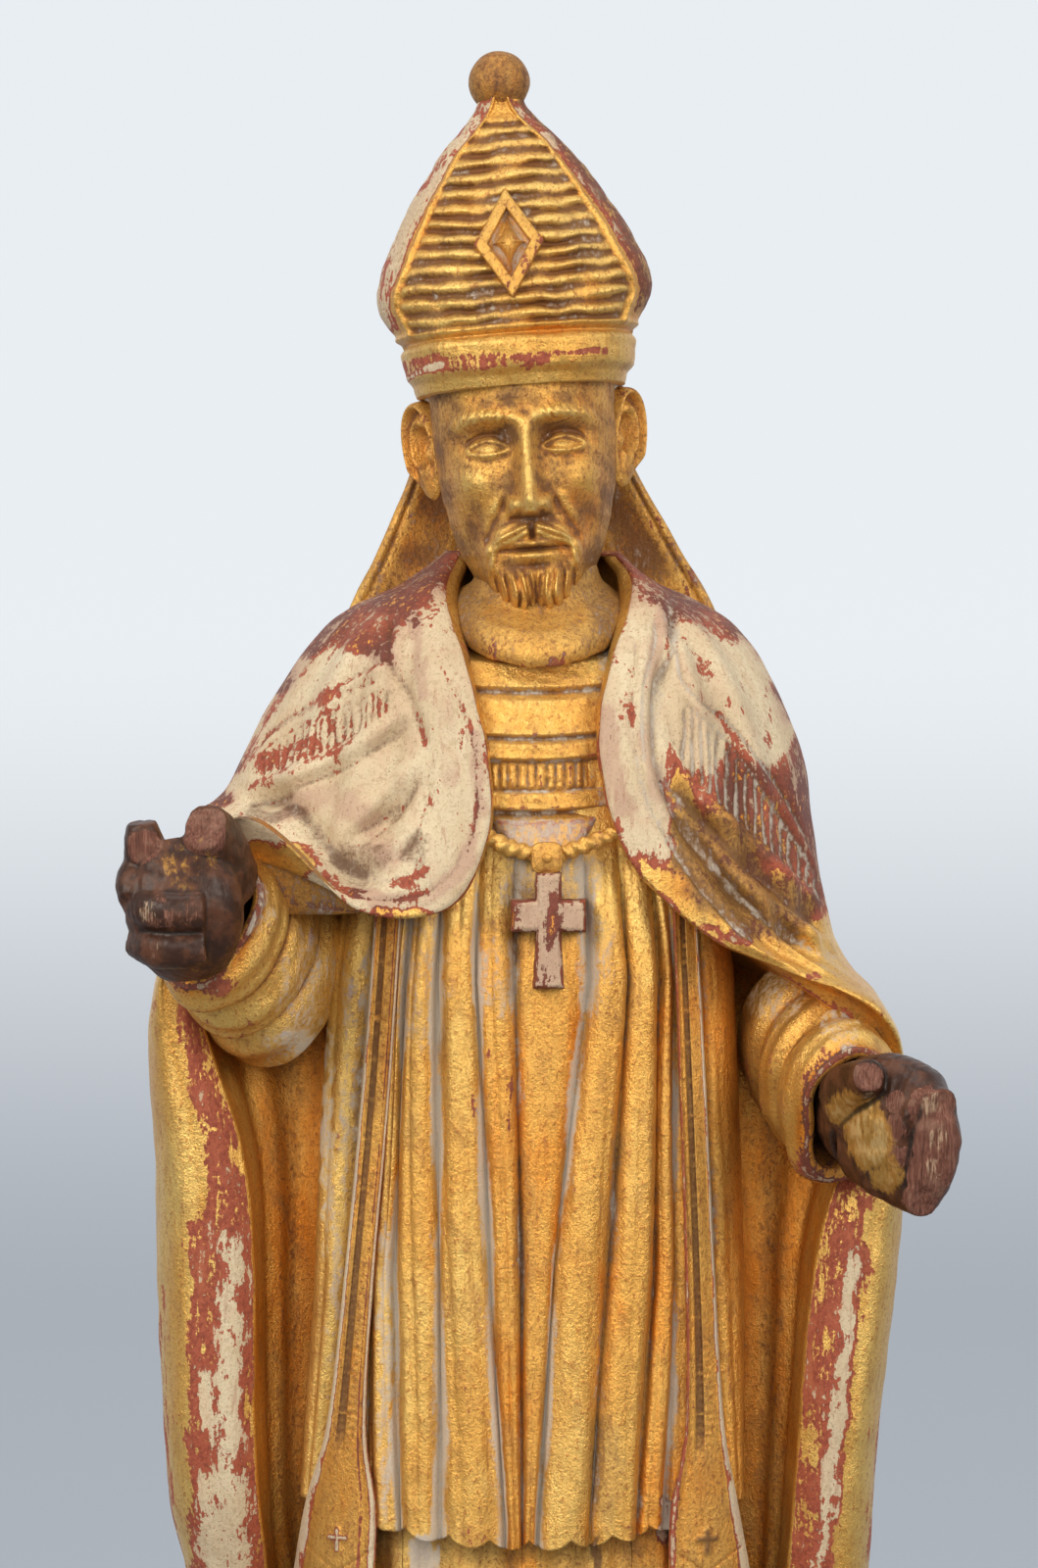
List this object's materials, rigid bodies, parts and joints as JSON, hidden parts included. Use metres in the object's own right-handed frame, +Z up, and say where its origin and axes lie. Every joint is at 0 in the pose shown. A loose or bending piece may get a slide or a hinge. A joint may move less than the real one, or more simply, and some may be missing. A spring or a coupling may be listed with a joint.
{
  "type": "carved saint statue",
  "caption": "Standing bishop saint in mitre, cope and pleated rochet, carved and gilded wood, one hand raised and one held out, on a low plinth.",
  "frame": {"origin": "centre of the plinth's underside", "axes": "+Z up along the figure's height, the saint faces -Y, +X is towards the saint's left hand"},
  "size_m": [0.2039, 0.1582, 0.5594],
  "materials": {
    "gilding": "worn water gilding over red bole and gesso",
    "bare_wood": "darkened, old varnish",
    "plinth_gilding": "worn gilding"
  },
  "bodies": {
    "root": {"figure": "gilding", "right_hand": "bare_wood", "left_hand": "bare_wood", "plinth": "plinth_gilding"}
  },
  "joints": []
}
